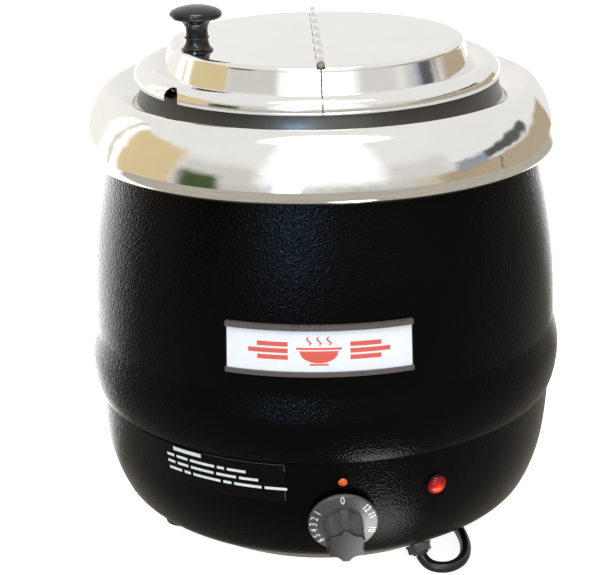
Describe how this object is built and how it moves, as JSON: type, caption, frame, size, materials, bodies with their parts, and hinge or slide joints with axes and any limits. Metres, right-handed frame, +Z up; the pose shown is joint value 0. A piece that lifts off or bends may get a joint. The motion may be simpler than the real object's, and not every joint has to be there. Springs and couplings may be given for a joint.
{
  "type": "soup kettle",
  "caption": "Electric wet-heat soup kettle: black casing, polished adaptor ring, lift-out pot, hinged half lid with knob, front dial, pilot lamp and mains cord.",
  "frame": {"origin": "where the kettle's upright axis meets the surface it stands on", "axes": "+Z up, -Y the front with the dial, +X to the right seen from the front"},
  "size_m": [0.349, 0.4799, 0.3901],
  "materials": {
    "casing": "glossy black textured powder coat",
    "zinc_plate": "zinc-plated sheet, dull",
    "steel_fixings": "plain steel, satin",
    "foot_rubber": "matt black rubber",
    "drawn_steel": "deep drawn stainless steel, satin",
    "polished_steel": "mirror-polished stainless steel",
    "heater_sheath": "heat-darkened steel sheath",
    "thermostat_case": "cream ceramic and moulding",
    "copper": "bare copper",
    "black_plastic": "black moulding",
    "lamp_lens": "clear coloured lens",
    "marker_orange": "moulded orange pointer",
    "sign_rail": "grey-brown extrusion",
    "sign_print": "printed card",
    "label_film": "printed film",
    "brown_wire": "wire sleeve",
    "blue_wire": "wire sleeve",
    "green_yellow_wire": "wire sleeve",
    "white_wire": "glass-fibre sleeve",
    "cord_rubber": "semi-gloss black cord sheath",
    "pin_brass": "plated brass"
  },
  "bodies": {
    "kettle": {"upper_casing": "casing", "base_casing": "casing", "base_plate": "zinc_plate", "plate_screws": "steel_fixings", "foot_screws": "steel_fixings", "rubber_foot_1": "foot_rubber", "rubber_foot_2": "foot_rubber", "rubber_foot_3": "foot_rubber", "rubber_foot_4": "foot_rubber", "water_pan": "drawn_steel", "heater_element": "heater_sheath", "heater_clamp_plate": "zinc_plate", "tie_rod": "steel_fixings", "tie_rod_nuts": "steel_fixings", "thermostat_body": "thermostat_case", "thermostat_screws": "steel_fixings", "thermostat_bulb": "copper", "bulb_clip": "zinc_plate", "capillary_tube": "copper", "pilot_lamp_lens": "lamp_lens", "pilot_lamp_body": "black_plastic", "pilot_lamp_nut": "black_plastic", "index_marker": "marker_orange", "sign_holder": "sign_rail", "sign_card": "sign_print", "sign_rivets": "steel_fixings", "safety_label": "label_film", "terminal_block": "thermostat_case", "earth_stud": "steel_fixings", "live_wire": "brown_wire", "neutral_wire": "blue_wire", "earth_wire": "green_yellow_wire", "switched_wire": "brown_wire", "heater_wires": "white_wire", "lamp_wires": "white_wire", "cord_gland": "black_plastic", "cord_gland_nut": "black_plastic", "supply_cord": "cord_rubber", "cord_coil": "cord_rubber", "cord_tie": "black_plastic", "plug_body": "cord_rubber", "plug_pins": "pin_brass"},
    "adaptor_ring": {"adaptor_ring": "polished_steel"},
    "pot": {"soup_pot": "drawn_steel"},
    "lid": {"lid_fixed_half": "polished_steel", "fixed_hinge_leaf": "polished_steel", "hinge_pin": "steel_fixings"},
    "flip_lid": {"lid_flip_half": "polished_steel", "flip_hinge_leaf": "polished_steel", "lid_knob": "black_plastic", "lid_knob_screw": "steel_fixings"},
    "dial": {"control_knob": "black_plastic", "thermostat_shaft": "steel_fixings"}
  },
  "joints": [
    {"name": "ring_lift", "type": "slide", "parent": "kettle", "child": "adaptor_ring", "axis": [0, 0, 1], "range_m": [0, 0.06]},
    {"name": "pot_lift", "type": "slide", "parent": "adaptor_ring", "child": "pot", "axis": [0, 0, 1], "range_m": [0, 0.26]},
    {"name": "lid_lift", "type": "slide", "parent": "pot", "child": "lid", "axis": [0, 0, 1], "range_m": [0, 0.06]},
    {"name": "lid_flip", "type": "hinge", "parent": "lid", "child": "flip_lid", "pos_m": [-0.0015, 0, 0.36], "axis": [0.0384, 0.9993, 0], "range_deg": [0, 155]},
    {"name": "dial_turn", "type": "hinge", "parent": "kettle", "child": "dial", "pos_m": [0, -0.1644, 0.066], "axis": [0, -0.9781, -0.2079], "range_deg": [-305, 0]}
  ]
}
